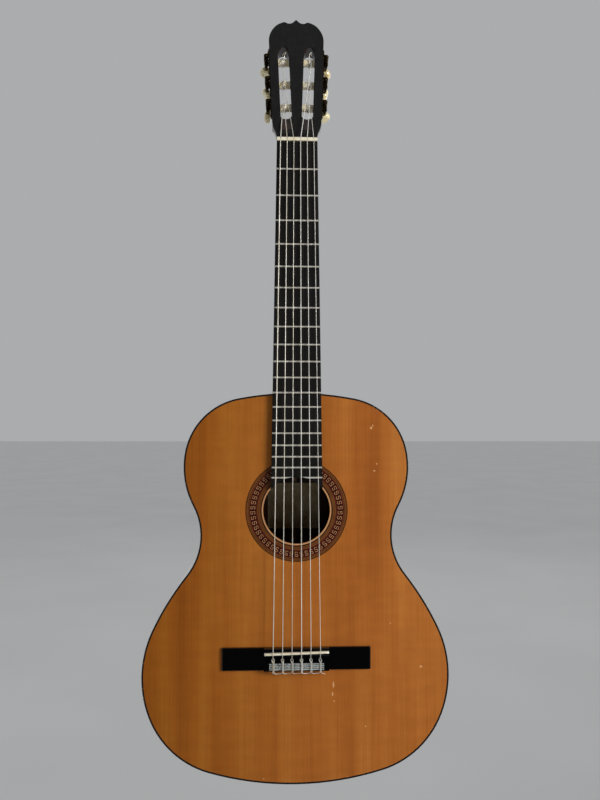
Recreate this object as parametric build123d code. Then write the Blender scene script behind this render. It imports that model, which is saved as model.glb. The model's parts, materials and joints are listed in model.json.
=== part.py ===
"""Classical guitar, hanging upright.

Frame, in millimetres: X across the guitar, towards the treble side; Y from the front to the back; Z up,
towards the head. The origin is on the centre line where the fingerboard meets the nut, in the plane of the
soundboard's outer face (Y = 0), which is also the glue plane under the fingerboard. It lies inside the neck,
between the arms of the wall hanger that carries the guitar.
"""

import os
from math import asin, atan2, cos, degrees, hypot, pi, radians, sin, sqrt, tan

from build123d import *

# Strings and frets
SCALE_LENGTH = 650.0
STRINGS = 6
FRETS = 19
BODY_FRET = 12
# Plain nylon trebles (1 to 3) and wound basses (4 to 6)
STRING_RADII = (0.36, 0.42, 0.52, 0.38, 0.46, 0.56)
NUT_STRING_SPREAD = 43.0
SADDLE_STRING_SPREAD = 59.5
STRING_GAP = 0.1
# Centre-line depth of the strings' undersides at the nut and of the saddle's crown, bass and treble
NUT_STRING_Y = -8.0
SADDLE_BASS_Y = -12.8
SADDLE_TREBLE_Y = -12.2

# Fingerboard, nut and frets
BOARD_THICKNESS = 6.5
NUT_WIDTH = 52.5
WIDTH_AT_BODY = 62.0
NUT_THICKNESS = 5.0
NUT_HEIGHT = 9.0
FRET_CROWN_WIDTH = 2.1
FRET_CROWN_HEIGHT = 1.0
FRET_TANG_WIDTH = 0.6
FRET_TANG_DEPTH = 1.7
FRET_INSET = 0.35

# Body: right half of the outline as tangent arcs from the top centre, clockwise (radius, degrees turned)
OUTLINE_ARCS = (
    (391.0, 11.0),
    (85.0, 68.0),
    (106.0, 39.0),
    (80.0, -66.3),
    (355.0, 13.0),
    (137.5, 46.5),
    (116.2, 52.5),
)
TOP_THICKNESS = 2.6
BACK_THICKNESS = 2.8
RIB_THICKNESS = 2.2
BINDING_WIDTH = 2.2
BINDING_DEPTH = 5.0
# The back is part of a large sphere, deepest below the middle of the body
DOME_RADIUS = 4600.0
DOME_DEPTH = 100.0
DOME_BELOW_JOIN = 300.0
BACK_STRIP_WIDTH = 6.0

# Inside the body: glue strips, end blocks, braces and the label
LINING_WIDTH = 6.0
LINING_DEPTH = 14.0
NECK_BLOCK_WIDTH = 76.0
NECK_BLOCK_LENGTH = 42.0
FOOT_WIDTH = 53.0
FOOT_LENGTH = 24.0
FOOT_DEPTH = 16.0
TAIL_BLOCK_WIDTH = 84.0
TAIL_BLOCK_LENGTH = 17.0
FAN_WIDTH = 6.0
FAN_HEIGHT = 4.5
FAN_COUNT = 5
FAN_TOP_Z = -548.0
FAN_BOTTOM_Z = -782.0
FAN_STEP_AT_BRIDGE = 31.0
FAN_SHORTENING = 7.0
BAR_WIDTH = 7.0
BAR_HEIGHT = 15.0
BAR_SCOOP_RADIUS = 28.0
BAR_SCOOP_DEPTH = 6.0
HARMONIC_Z = (-405.0, -537.0)
BACK_BAR_Z = (-415.0, -535.0, -690.0)
LABEL_WIDTH = 71.0
LABEL_HEIGHT = 64.0
LABEL_THICKNESS = 0.4
LABEL_X = -1.7
LABEL_Z = -480.0

# Soundhole and rosette
HOLE_RADIUS = 42.7
HOLE_Z = -475.0
ROSETTE_INNER = 45.2
ROSETTE_OUTER = 65.3
ROSETTE_THICKNESS = 1.0

# Bridge
BRIDGE_LENGTH = 188.6
BRIDGE_FRONT_Z = -647.1
BRIDGE_BACK_Z = -675.4
WING_HEIGHT = 3.6
CENTRE_LENGTH = 82.0
RIDGE_HEIGHT = 8.8
RIDGE_WIDTH = 10.0
TIE_FRONT_Z = -664.0
TIE_HEIGHT = 8.2
INLAY_LENGTH = 70.0
INLAY_WIDTH = 9.6
INLAY_THICKNESS = 0.9
SADDLE_THICKNESS = 2.6
SADDLE_LENGTH = 81.0
SADDLE_DEPTH_IN_RIDGE = 4.0
SADDLE_Z = -652.4
SADDLE_SLANT = 2.0
TIE_HOLE_HEIGHT = 4.6
TIE_HOLE_RADIUS = 0.8

# Head: its face starts behind the nut and leans back
HEAD_TILT = 12.0
HEAD_LENGTH = 184.0
HEAD_FACE_Y = -1.6
HEAD_THICKNESS = 20.0
VENEER_THICKNESS = 2.0
HEAD_FLARE_END = 24.0
HEAD_LOW_HALF = 32.2
HEAD_SPLAY = 2.2
HEAD_SIDE_END = 148.0
# The crest's right half, from the shoulder to the peak (across, up the face)
SHOULDER_MIDDLE = (35.4, 160.6)
SHOULDER_END = (30.5, 170.2)
CREST_MIDDLE = (24.8, 176.0)
CREST_BUMP = (18.0, 179.4)
CREST_DIP_START = (13.6, 179.0)
CREST_DIP = (8.6, 177.8)
PEAK_START = (4.6, 179.4)
PEAK_MIDDLE = (1.9, 182.0)
SLOT_WIDTH = 14.6
SLOT_LOW = 34.0
SLOT_HIGH = 141.0
SLOT_WALL = 11.4
RAMP_LOW = 8.0
RAMP_DEPTH = 9.0
ROLLER_PLACES = (52.0, 87.0, 122.0)
# Where each string meets its roller, out from the middle of the slot
STRING_ON_ROLLER = 3.6

# Tuning machines, seen from each side face of the head
GEAR_TEETH = 14
MODULE = 0.75
WORM_TIP_RADIUS = 3.0
WORM_LENGTH = 8.4
WORM_SHAFT_RADIUS = 1.35
GEAR_WIDTH = 3.6
GEAR_INNER = 2.7
BACKLASH = 0.5
PRESSURE_ANGLE = 20.0
HUB_RADIUS = 3.8
GEAR_SCREW_RADIUS = 0.9
GEAR_SCREW_DEPTH = 4.0
GEAR_SCREW_HEAD_RADIUS = 2.4
GEAR_SCREW_HEAD_HEIGHT = 1.0
DRIVER_SLOT = (0.9, 6.0, 0.7)
ADDENDUM = 0.85
DEDENDUM = 1.2
PLATE_THICKNESS = 1.2
PLATE_WIDTH = 14.0
PLATE_BELOW = 15.0
PLATE_ABOVE = 21.0
PLATE_SCREWS = (-11.0, 20.5, 55.5, 87.0)
SCREW_RADIUS = 1.1
SCREW_LENGTH = 9.0
SCREW_HEAD_RADIUS = 2.3
SCREW_HEAD_HEIGHT = 1.1
LUG_THICKNESS = 1.6
LUG_INNER = 4.6
LUG_WIDTH = 6.0
SHAFT_CLEARANCE = 0.06
END_FLOAT = 0.3
FLANGE_RADIUS = 2.2
FLANGE_THICKNESS = 1.0
BORE_OVERRUN = 3.0
ROLLER_RADIUS = 5.0
ROLLER_REACH = 28.5
ROLLER_GAP = 0.15
JOURNAL_RADIUS = 2.4
SPIGOT_WIDTH = 3.0
STRING_HOLE_RADIUS = 0.9
COLLAR_RADIUS = 2.3
COLLAR_END = 20.5
TENON_END = 30.3
BUTTON_START = 19.5
BUTTON_LENGTH = 17.0
BUTTON_WIDTH = 18.0
BUTTON_THICKNESS = 9.0
# How far each button stands turned at rest, strings 1 to 6
BUTTON_TURNS = (20.0, 75.0, -35.0, 10.0, 60.0, -80.0)

# Neck
NECK_DEPTH_NUT = 15.6
NECK_DEPTH_HEEL = 19.0
SHAFT_FULLNESS = 0.6
PROUD = 6.0
THROAT_Z = -24.0
NUT_LENGTH = NUT_WIDTH - 0.4
HEEL_CAP_THICKNESS = 2.5
# The heel at successive depths: (depth, width, length out from the body, how blunt its nose is)
HEEL_SECTIONS = (
    (8.0, 56.0, 88.0, 0.10),
    (19.0, 50.0, 52.0, 0.18),
    (30.0, 45.0, 33.0, 0.30),
    (42.0, 39.5, 23.5, 0.42),
    (56.0, 34.0, 18.5, 0.50),
    (73.0, 29.0, 16.0, 0.54),
    (90.5, 25.0, 14.5, 0.55),
)

# Worked out from the driving sizes
JOIN_Z = -SCALE_LENGTH * (1 - 2 ** (-BODY_FRET / 12))
DOME_Z = JOIN_Z - DOME_BELOW_JOIN
GEAR_PITCH_RADIUS = MODULE * GEAR_TEETH / 2
WORM_PITCH_RADIUS = WORM_TIP_RADIUS - ADDENDUM * MODULE
AXIS_DISTANCE = GEAR_PITCH_RADIUS + WORM_PITCH_RADIUS
WORM_PITCH = pi * MODULE
LEAD_ANGLE = degrees(atan2(WORM_PITCH, 2 * pi * WORM_PITCH_RADIUS))
GEAR_MIDDLE = GEAR_INNER + GEAR_WIDTH / 2
GEAR_OUTER = GEAR_INNER + GEAR_WIDTH
SPIGOT_END = GEAR_OUTER - 1.0
HUB_START = PLATE_THICKNESS + 0.25
NUT_BEND_Z = 2.0
ROLLER_STRING_GAP = 0.3
TIE_MOUTH_Z = TIE_FRONT_Z + 1.6
CROWN_RADIUS = SADDLE_THICKNESS / 2 - 0.1
DOME_AT_JOIN = DOME_DEPTH - DOME_RADIUS + sqrt(DOME_RADIUS**2 - DOME_BELOW_JOIN**2)
HEAD_MIDDLE = HEAD_THICKNESS / 2
HEAD_UP = (0, sin(radians(HEAD_TILT)), cos(radians(HEAD_TILT)))
HEAD_OUT = (0, -cos(radians(HEAD_TILT)), sin(radians(HEAD_TILT)))
HEAD = Plane(origin=(0, HEAD_FACE_Y, NUT_THICKNESS), x_dir=(1, 0, 0), z_dir=HEAD_OUT)
# Sketch plane of the body: sketch x is X, sketch y is Z, and an extrusion of -d reaches depth Y = d
FRONT = Plane(origin=(0, 0, 0), x_dir=(1, 0, 0), z_dir=(0, -1, 0))


def fret_distance(number):
    """From the nut to a fret."""
    return SCALE_LENGTH * (1 - 2 ** (-number / 12))


def board_half_width(z):
    """Half the fingerboard's width at a height z below the nut."""
    return (NUT_WIDTH + (WIDTH_AT_BODY - NUT_WIDTH) * z / JOIN_Z) / 2


def string_x(number, spread):
    """Strings run from 1 on the treble side to 6 on the bass side."""
    return spread / 2 - spread * (number - 1) / (STRINGS - 1)


def slab(sketch, near, far):
    """A body sketch, in X and Z, made solid from depth near to depth far."""
    return extrude(FRONT.offset(-near) * sketch, amount=-(far - near))


# ---------------------------------------------------------------- body outline


def outline_arcs():
    """(start, middle, end) of each arc of the right half, with the last one closing on the centre line."""
    x, z, heading = 0.0, JOIN_Z, 0.0
    arcs = []
    for radius, turn in OUTLINE_ARCS:
        x, z, heading = add_arc(arcs, x, z, heading, radius, turn)
    left = 180.0 - heading
    add_arc(arcs, x, z, heading, x / sin(radians(left)), left)
    return arcs


def add_arc(arcs, x, z, heading, radius, turn):
    """Adds one arc that turns clockwise for a positive turn, and returns where it ends and its heading."""
    signed = radius if turn > 0 else -radius
    centre_x = x - signed * sin(radians(heading))
    centre_z = z - signed * cos(radians(heading))
    points = []
    for share in (0, 0.5, 1):
        at = radians(heading + turn * share)
        points.append((centre_x + signed * sin(at), centre_z + signed * cos(at)))
    arcs.append(points)
    return points[2][0], points[2][1], heading + turn


def outline_radii():
    """Signed radius of each arc, positive where the outline bulges out."""
    x_last = outline_arcs()[-1][0][0]
    turned = sum(turn for _, turn in OUTLINE_ARCS)
    radii = [radius if turn > 0 else -radius for radius, turn in OUTLINE_ARCS]
    return radii + [x_last / sin(radians(180.0 - turned))]


def body_face(inset=0.0):
    """The body's plan, in from the outer edge by inset. Each arc moves towards or from its own centre."""
    edges = []
    for side in (1, -1):
        for (start, middle, end), radius in zip(outline_arcs(), outline_radii()):
            moved = [inset_point(p, start, middle, end, radius, inset) for p in (start, middle, end)]
            edges.append(ThreePointArc(*[(side * px, pz) for px, pz in moved]))
    return make_face(Curve() + edges)


def inset_point(point, start, middle, end, radius, inset):
    """A point of an arc, moved along the arc's own radius by inset."""
    centre = arc_centre(start, middle, end)
    scale = (radius - inset) / radius
    return centre[0] + (point[0] - centre[0]) * scale, centre[1] + (point[1] - centre[1]) * scale


def arc_centre(a, b, c):
    """Centre of the circle through three points."""
    d = 2 * (a[0] * (b[1] - c[1]) + b[0] * (c[1] - a[1]) + c[0] * (a[1] - b[1]))
    sa, sb, sc = (p[0] ** 2 + p[1] ** 2 for p in (a, b, c))
    x = (sa * (b[1] - c[1]) + sb * (c[1] - a[1]) + sc * (a[1] - b[1])) / d
    z = (sa * (c[0] - b[0]) + sb * (a[0] - c[0]) + sc * (b[0] - a[0])) / d
    return x, z


TAIL_Z = outline_arcs()[-1][2][1]


def dome(lift):
    """The solid sphere whose surface is lift inside the back's outer face."""
    return Pos(0, DOME_DEPTH - DOME_RADIUS, DOME_Z) * Sphere(DOME_RADIUS - lift)


DEEP = DOME_DEPTH + 10


def under_dome(part, lift):
    """What of a part lies in front of the surface lift inside the back's outer face."""
    return part & dome(lift)


# ---------------------------------------------------------------- soundbox


def soundhole(near, far):
    """The soundhole's plug, for cutting."""
    return slab(Pos(0, HOLE_Z) * Circle(HOLE_RADIUS), near, far)


def make_soundboard():
    plate = slab(body_face(BINDING_WIDTH), 0, TOP_THICKNESS)
    ring = Pos(0, HOLE_Z) * (Circle(ROSETTE_OUTER) - Circle(ROSETTE_INNER))
    return plate - soundhole(-1, TOP_THICKNESS + 1) - slab(ring, -1, ROSETTE_THICKNESS)


def make_rosette():
    """The ring inlaid round the soundhole, flush with the top."""
    ring = Pos(0, HOLE_Z) * (Circle(ROSETTE_OUTER) - Circle(ROSETTE_INNER))
    return slab(ring, 0, ROSETTE_THICKNESS)


def make_rib(side):
    """One bent side, from the neck joint to the tail seam, between the two bindings."""
    hoop = slab(body_face() - body_face(RIB_THICKNESS), BINDING_DEPTH, DEEP)
    hoop = under_dome(hoop, BINDING_DEPTH)
    half = Pos(side * 150, DEEP / 2, JOIN_Z - 250) * Box(300, DEEP + 20, 600)
    return hoop & half


def make_top_binding():
    return slab(body_face() - body_face(BINDING_WIDTH), 0, BINDING_DEPTH)


def make_back_binding():
    hoop = slab(body_face() - body_face(BINDING_WIDTH), BINDING_DEPTH * 2, DEEP)
    return under_dome(hoop, 0) - dome(BINDING_DEPTH)


def make_back_half(side):
    """One bookmatched half of the back, domed, beside the centre strip."""
    inner = BACK_STRIP_WIDTH / 2
    block = slab(body_face(BINDING_WIDTH), DEEP / 2, DEEP)
    block = block & (Pos(side * (inner + 150), DEEP / 2, JOIN_Z - 250) * Box(300, DEEP + 20, 600))
    return under_dome(block, 0) - dome(BACK_THICKNESS)


def make_back_strip():
    """The dark strip let in between the halves of the back."""
    block = slab(body_face(BINDING_WIDTH), DEEP / 2, DEEP)
    block = block & (Pos(0, DEEP / 2, JOIN_Z - 250) * Box(BACK_STRIP_WIDTH, DEEP + 20, 600))
    return under_dome(block, 0) - dome(BACK_THICKNESS)


def make_linings():
    """Four glue strips along the inside edges of the ribs, between the two blocks."""
    ring = body_face(RIB_THICKNESS) - body_face(RIB_THICKNESS + LINING_WIDTH)
    top = slab(ring, TOP_THICKNESS, TOP_THICKNESS + LINING_DEPTH)
    back = under_dome(slab(ring, DEEP / 2, DEEP), BACK_THICKNESS) - dome(BACK_THICKNESS + LINING_DEPTH)
    blocks = Pos(0, DEEP / 2, JOIN_Z) * Box(NECK_BLOCK_WIDTH + 1, DEEP * 2, 80)
    blocks += Pos(0, DEEP / 2, TAIL_Z) * Box(TAIL_BLOCK_WIDTH + 1, DEEP * 2, 60)
    return (top - blocks) + (back - blocks)


def make_neck_block():
    """The block inside the body that the heel is joined to, with a foot along the back."""
    block = body_face(RIB_THICKNESS) & (
        Pos(0, JOIN_Z - NECK_BLOCK_LENGTH / 2) * Rectangle(NECK_BLOCK_WIDTH, NECK_BLOCK_LENGTH)
    )
    foot = Pos(0, JOIN_Z - NECK_BLOCK_LENGTH - FOOT_LENGTH / 2) * Rectangle(
        FOOT_WIDTH, FOOT_LENGTH
    )
    solid = under_dome(slab(block, TOP_THICKNESS, DEEP), BACK_THICKNESS)
    solid += under_dome(slab(foot, DEEP / 2, DEEP), BACK_THICKNESS) - dome(BACK_THICKNESS + FOOT_DEPTH)
    return solid


def make_tail_block():
    block = body_face(RIB_THICKNESS) & (
        Pos(0, TAIL_Z + TAIL_BLOCK_LENGTH / 2) * Rectangle(TAIL_BLOCK_WIDTH, TAIL_BLOCK_LENGTH)
    )
    return under_dome(slab(block, TOP_THICKNESS, DEEP), BACK_THICKNESS)


def make_fan_braces():
    """Light struts under the lower bout, fanned out from the body joint."""
    bars = []
    for i in range(FAN_COUNT):
        offset = (i - (FAN_COUNT - 1) / 2) * FAN_STEP_AT_BRIDGE
        lean = atan2(offset, JOIN_Z - SADDLE_Z)
        shorter = FAN_SHORTENING * abs(i - (FAN_COUNT - 1) / 2)
        length = FAN_TOP_Z - FAN_BOTTOM_Z - shorter
        middle = (FAN_TOP_Z + FAN_BOTTOM_Z + shorter) / 2
        x = tan(lean) * (JOIN_Z - middle)
        profile = Pos(x, middle) * Rot(0, 0, degrees(lean)) * Rectangle(FAN_WIDTH, length)
        bars.append(slab(profile, TOP_THICKNESS, TOP_THICKNESS + FAN_HEIGHT))
    return Compound(children=bars)


def make_harmonic_bars():
    """Two tall bars across the top, one on each side of the soundhole, scooped at their ends."""
    bars = []
    for z in HARMONIC_Z:
        strip = body_face(RIB_THICKNESS + LINING_WIDTH) & (Pos(0, z) * Rectangle(400, BAR_WIDTH))
        bar = slab(strip, TOP_THICKNESS, TOP_THICKNESS + BAR_HEIGHT)
        half = bar.bounding_box().max.X
        for side in (1, -1):
            deep = TOP_THICKNESS + BAR_HEIGHT - BAR_SCOOP_DEPTH + BAR_SCOOP_RADIUS
            bar -= Pos(side * half, deep, z) * Cylinder(BAR_SCOOP_RADIUS, BAR_WIDTH + 2)
        bars.append(bar)
    return Compound(children=bars)


def make_back_braces():
    """Three bars across the inside of the back, shaped to its dome."""
    bars = []
    for z in BACK_BAR_Z:
        strip = body_face(RIB_THICKNESS + LINING_WIDTH) & (Pos(0, z) * Rectangle(400, BAR_WIDTH))
        bar = under_dome(slab(strip, DEEP / 2, DEEP), BACK_THICKNESS)
        bars.append(bar - dome(BACK_THICKNESS + BAR_HEIGHT))
    return Compound(children=bars)


def make_label():
    """A paper label glued inside the back, under the soundhole."""
    sheet = slab(Pos(LABEL_X, LABEL_Z) * Rectangle(LABEL_WIDTH, LABEL_HEIGHT), DEEP / 2, DEEP)
    return under_dome(sheet, BACK_THICKNESS) - dome(BACK_THICKNESS + LABEL_THICKNESS)


# ---------------------------------------------------------------- bridge


def rests_on_top(x, z, size_x, size_z, height, base=0.0):
    """A block on the soundboard, from height base to height above it, centred on x and z."""
    return Pos(x, -(base + height) / 2, z) * Box(size_x, height - base, size_z)


def saddle_frame():
    """Where the saddle stands: on its slant, with local x along it."""
    slant = degrees(atan2(SADDLE_SLANT, SADDLE_LENGTH))
    return Pos(0, 0, SADDLE_Z) * Rot(0, -slant, 0)


def make_bridge():
    middle_z = (BRIDGE_FRONT_Z + BRIDGE_BACK_Z) / 2
    width = BRIDGE_FRONT_Z - BRIDGE_BACK_Z
    wings = rests_on_top(0, middle_z, BRIDGE_LENGTH, width, WING_HEIGHT)
    wings = fillet(wings.edges().filter_by(Axis.Z).group_by(Axis.Y)[0], 2.2)
    wings = fillet(wings.faces().sort_by(Axis.Y)[0].edges().filter_by(Axis.X), 0.8)
    ridge_z = BRIDGE_FRONT_Z - RIDGE_WIDTH / 2
    ridge = rests_on_top(0, ridge_z, CENTRE_LENGTH, RIDGE_WIDTH, RIDGE_HEIGHT)
    ridge = fillet(ridge.edges().filter_by(Axis.X).group_by(Axis.Y)[0], 2.6)
    tie_width = TIE_FRONT_Z - BRIDGE_BACK_Z
    tie_z = (TIE_FRONT_Z + BRIDGE_BACK_Z) / 2
    tie = rests_on_top(0, tie_z, CENTRE_LENGTH, tie_width, TIE_HEIGHT)
    tie = fillet(tie.edges().filter_by(Axis.X).group_by(Axis.Y)[0], 0.6)
    bridge = wings + ridge + tie
    slot = Pos(0, -RIDGE_HEIGHT, 0) * Box(CENTRE_LENGTH + 2, 2 * SADDLE_DEPTH_IN_RIDGE, SADDLE_THICKNESS)
    bridge -= saddle_frame() * slot
    for number in range(1, STRINGS + 1):
        hole = Cylinder(TIE_HOLE_RADIUS, tie_width + 4)
        bridge -= Pos(string_x(number, SADDLE_STRING_SPREAD), -TIE_HOLE_HEIGHT, tie_z) * hole
    recess = Pos(0, -TIE_HEIGHT, tie_z) * Box(INLAY_LENGTH, 2 * INLAY_THICKNESS, INLAY_WIDTH)
    return bridge - recess


def make_tie_inlay():
    """The plate let into the top of the tie block, which the strings are tied over."""
    tie_z = (TIE_FRONT_Z + BRIDGE_BACK_Z) / 2
    plate = Pos(0, -TIE_HEIGHT + INLAY_THICKNESS / 2, tie_z) * Box(INLAY_LENGTH, INLAY_THICKNESS, INLAY_WIDTH)
    return plate


def saddle_z(x):
    """Height of the slanted saddle's middle at a place across the guitar."""
    return SADDLE_Z + SADDLE_SLANT * x / SADDLE_LENGTH


def saddle_crown_y(x):
    """Depth of the saddle's crown at a place along it."""
    return SADDLE_TREBLE_Y + (SADDLE_BASS_Y - SADDLE_TREBLE_Y) * (0.5 - x / SADDLE_STRING_SPREAD)


def make_saddle():
    """The saddle: higher on the bass side, with a rounded crown."""
    foot = -(RIDGE_HEIGHT - SADDLE_DEPTH_IN_RIDGE)
    half = SADDLE_LENGTH / 2
    side = Polyline(
        (-half, foot),
        (half, foot),
        (half, saddle_crown_y(half) + 1.2),
        (half - 3, saddle_crown_y(half - 3)),
        (-half + 3, saddle_crown_y(-half + 3)),
        (-half, saddle_crown_y(-half) + 1.2),
        close=True,
    )
    blank = extrude(make_face(side), amount=SADDLE_THICKNESS / 2, both=True)
    crown = blank.edges().filter_by(lambda e: abs(e.tangent_at(0.5).X) > 0.99).group_by(Axis.Y)[0]
    return saddle_frame() * fillet(crown, CROWN_RADIUS)


# ---------------------------------------------------------------- fingerboard, nut, frets


def board_plan(inset=0.0):
    """The fingerboard's plan, from the nut to its lower end at the soundhole."""
    low = HOLE_Z
    return make_face(
        Polyline(
            (-board_half_width(0) + inset, 0),
            (board_half_width(0) - inset, 0),
            (board_half_width(low) - inset, low),
            (-board_half_width(low) + inset, low),
            close=True,
        )
    ) - Pos(0, HOLE_Z) * Circle(HOLE_RADIUS)


def board_sketch():
    """The plan above the soundhole's middle, without the slivers beside the hole."""
    end = HOLE_Z + sqrt(HOLE_RADIUS**2 - board_half_width(HOLE_Z) ** 2) - 0.5
    keep = Pos(0, (end + 10) / 2) * Rectangle(200, 10 - end)
    return board_plan() & keep


def fret_half_length(z):
    return board_half_width(z) - FRET_INSET


def fret_blank(z):
    """Crown and tang of one fret, straight across the board."""
    half = fret_half_length(z)
    top = -BOARD_THICKNESS
    rise = FRET_CROWN_HEIGHT
    w = FRET_CROWN_WIDTH / 2
    profile = make_face(
        Curve()
        + [
            Line((-w, 0), (-FRET_TANG_WIDTH / 2, 0)),
            Line((-FRET_TANG_WIDTH / 2, 0), (-FRET_TANG_WIDTH / 2, FRET_TANG_DEPTH)),
            Line((-FRET_TANG_WIDTH / 2, FRET_TANG_DEPTH), (FRET_TANG_WIDTH / 2, FRET_TANG_DEPTH)),
            Line((FRET_TANG_WIDTH / 2, FRET_TANG_DEPTH), (FRET_TANG_WIDTH / 2, 0)),
            Line((FRET_TANG_WIDTH / 2, 0), (w, 0)),
            ThreePointArc((w, 0), (0, -rise), (-w, 0)),
        ]
    )
    across = Plane(origin=(0, top, z), x_dir=(0, 0, 1), z_dir=(-1, 0, 0))
    return extrude(across * profile, amount=half, both=True)


def make_frets():
    """Nineteen fret wires; the last one is in two pieces, beside the soundhole."""
    wires = []
    gap = slab(Pos(0, HOLE_Z) * Circle(HOLE_RADIUS + 0.4), -BOARD_THICKNESS - 3, 0)
    for number in range(1, FRETS + 1):
        wire = fret_blank(-fret_distance(number))
        if number == FRETS:
            wires.extend((wire - gap).solids())
        else:
            wires.append(wire)
    return Compound(children=wires)


def make_fingerboard():
    board = slab(board_sketch(), -BOARD_THICKNESS, 0)
    for number in range(1, FRETS + 1):
        z = -fret_distance(number)
        cut = Pos(0, -BOARD_THICKNESS, z) * Box(100, 2 * FRET_TANG_DEPTH, FRET_TANG_WIDTH)
        board -= cut
    return board


def nut_string_y(number):
    """Centre depth of a string at the nut."""
    return NUT_STRING_Y - STRING_RADII[number - 1]


def make_nut():
    """The nut: a bone strip with a rounded top edge and a groove for each string."""
    block = Pos(0, -NUT_HEIGHT / 2, NUT_THICKNESS / 2) * Box(NUT_LENGTH, NUT_HEIGHT, NUT_THICKNESS)
    block = fillet(block.edges().filter_by(Axis.X).group_by(Axis.Y)[0].sort_by(Axis.Z)[-1:], 2.0)
    for number in range(1, STRINGS + 1):
        roller_end, bend, crown = string_route(number)[:3]
        block -= groove(bend, crown, number) + groove(bend, roller_end, number)
    return block


def groove(start, end, number):
    """A groove along a stretch of string from the nut's bend, open to the front."""
    radius = STRING_RADII[number - 1] + STRING_GAP
    along = (Vector(*end) - Vector(*start)).normalized()
    plane = Plane(origin=start, x_dir=(1, 0, 0), z_dir=along)
    up = plane.to_local_coords(Vector(*start) + Vector(0, -1, 0))
    side = 1 if up.Y > 0 else -1
    section = Circle(radius) + Pos(0, side * 5) * Rectangle(2 * radius, 10)
    return extrude(plane * section, amount=12) + Pos(*start) * Sphere(radius)


# ---------------------------------------------------------------- neck and head


def neck_section(plane, half, depth, corner_width, corner_depth):
    """A section with a rounded back, made proud in front so that the face can be cut flat."""
    low = depth - corner_depth
    inner = half - corner_width
    full = SHAFT_FULLNESS
    right = Bezier(
        (half, low), (half, low + full * corner_depth), (inner + full * corner_width, depth), (inner, depth)
    )
    left = Bezier(
        (-inner, depth),
        (-inner - full * corner_width, depth),
        (-half, low + full * corner_depth),
        (-half, low),
    )
    edges = [
        Line((-half, -PROUD), (half, -PROUD)),
        Line((half, -PROUD), (half, low)),
        right,
        Line((inner, depth), (-inner, depth)),
        left,
        Line((-half, low), (-half, -PROUD)),
    ]
    return plane * make_face(Curve() + edges)


def level(z):
    """Plane across the neck at a height, with its own y running to the back."""
    return Plane(origin=(0, 0, z), x_dir=(1, 0, 0), z_dir=(0, 0, 1))


def across_head(t):
    """Plane across the head, t up its face, with its own y running into the head."""
    return Plane(origin=HEAD.from_local_coords((0, t, 0)), x_dir=(1, 0, 0), z_dir=HEAD_UP)


def side_half_width(t):
    """Half the head's width where its sides run straight."""
    return HEAD_LOW_HALF + (t - HEAD_FLARE_END) * tan(radians(HEAD_SPLAY))


def head_outline():
    """The head's plan: flared from the nut, straight splayed sides, and a crest with a small peak."""
    half = []
    nut_half = NUT_WIDTH / 2
    flare = Bezier(
        (nut_half, 0), (nut_half, HEAD_FLARE_END * 0.45), (HEAD_LOW_HALF - 1, HEAD_FLARE_END * 0.55),
        (HEAD_LOW_HALF, HEAD_FLARE_END)
    )
    half.append(flare)
    corner = (side_half_width(HEAD_SIDE_END), HEAD_SIDE_END)
    half.append(Line((HEAD_LOW_HALF, HEAD_FLARE_END), corner))
    half.append(ThreePointArc(corner, SHOULDER_MIDDLE, SHOULDER_END))
    half.append(ThreePointArc(SHOULDER_END, CREST_MIDDLE, CREST_BUMP))
    half.append(ThreePointArc(CREST_BUMP, (CREST_BUMP[0] - 2.6, CREST_BUMP[1] + 0.5), CREST_DIP_START))
    half.append(ThreePointArc(CREST_DIP_START, CREST_DIP, PEAK_START))
    half.append(ThreePointArc(PEAK_START, PEAK_MIDDLE, (0, HEAD_LENGTH)))
    both = half + [mirror(edge, about=Plane.YZ) for edge in half]
    both.append(Line((-nut_half, 0), (nut_half, 0)))
    return make_face(Curve() + both)


def above_nut(part):
    """What of a part lies above the nut's back face."""
    return part & (Pos(0, 0, NUT_THICKNESS + 150) * Box(200, 200, 300))


def slot_centre_x(t):
    """Middle of the slots, which follow the head's splayed sides."""
    return side_half_width(t) - (SLOT_WALL + SLOT_WIDTH / 2) / cos(radians(HEAD_SPLAY))


def head_slots():
    """Cutter for the two string slots and the ramps that lead the strings into them."""
    low = SLOT_LOW + SLOT_WIDTH / 2
    high = SLOT_HIGH - SLOT_WIDTH / 2
    middle = (low + high) / 2
    sketch = Rot(0, 0, -HEAD_SPLAY) * SlotCenterToCenter(high - low, SLOT_WIDTH, rotation=90)
    slot = extrude(HEAD * (Pos(slot_centre_x(middle), middle) * sketch), amount=40, both=True)
    side = make_face(
        Polyline((RAMP_LOW, 1), (RAMP_LOW, 0), (low, -RAMP_DEPTH), (low, 1), close=True)
    )
    along = Plane(
        origin=(slot_centre_x(0), 0, 0),
        x_dir=(sin(radians(HEAD_SPLAY)), cos(radians(HEAD_SPLAY)), 0),
        z_dir=(cos(radians(HEAD_SPLAY)), -sin(radians(HEAD_SPLAY)), 0),
    )
    ramp = HEAD.location * extrude(along * (Plane.XY * side), amount=SLOT_WIDTH / 2, both=True)
    one = slot + ramp
    return one + mirror(one, about=Plane.YZ)


def side_frame(t):
    """Location on the head's treble side, t up it and halfway through it.

    Local x points out of the side, y up along it and z out of the head's face.
    """
    corner = HEAD.location * Pos(HEAD_LOW_HALF, HEAD_FLARE_END, -HEAD_MIDDLE) * Rot(0, 0, -HEAD_SPLAY)
    return corner * Pos(0, t - HEAD_FLARE_END, 0)


def machine_frame(number):
    """Location of a string's tuning machine, before the bass ones are mirrored."""
    place = number if number <= 3 else 7 - number
    return side_frame(ROLLER_PLACES[place - 1])


def on_its_side(part, number):
    """A part made for the treble side, mirrored for a bass string."""
    return part if number <= 3 else mirror(part, about=Plane.YZ)


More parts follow.
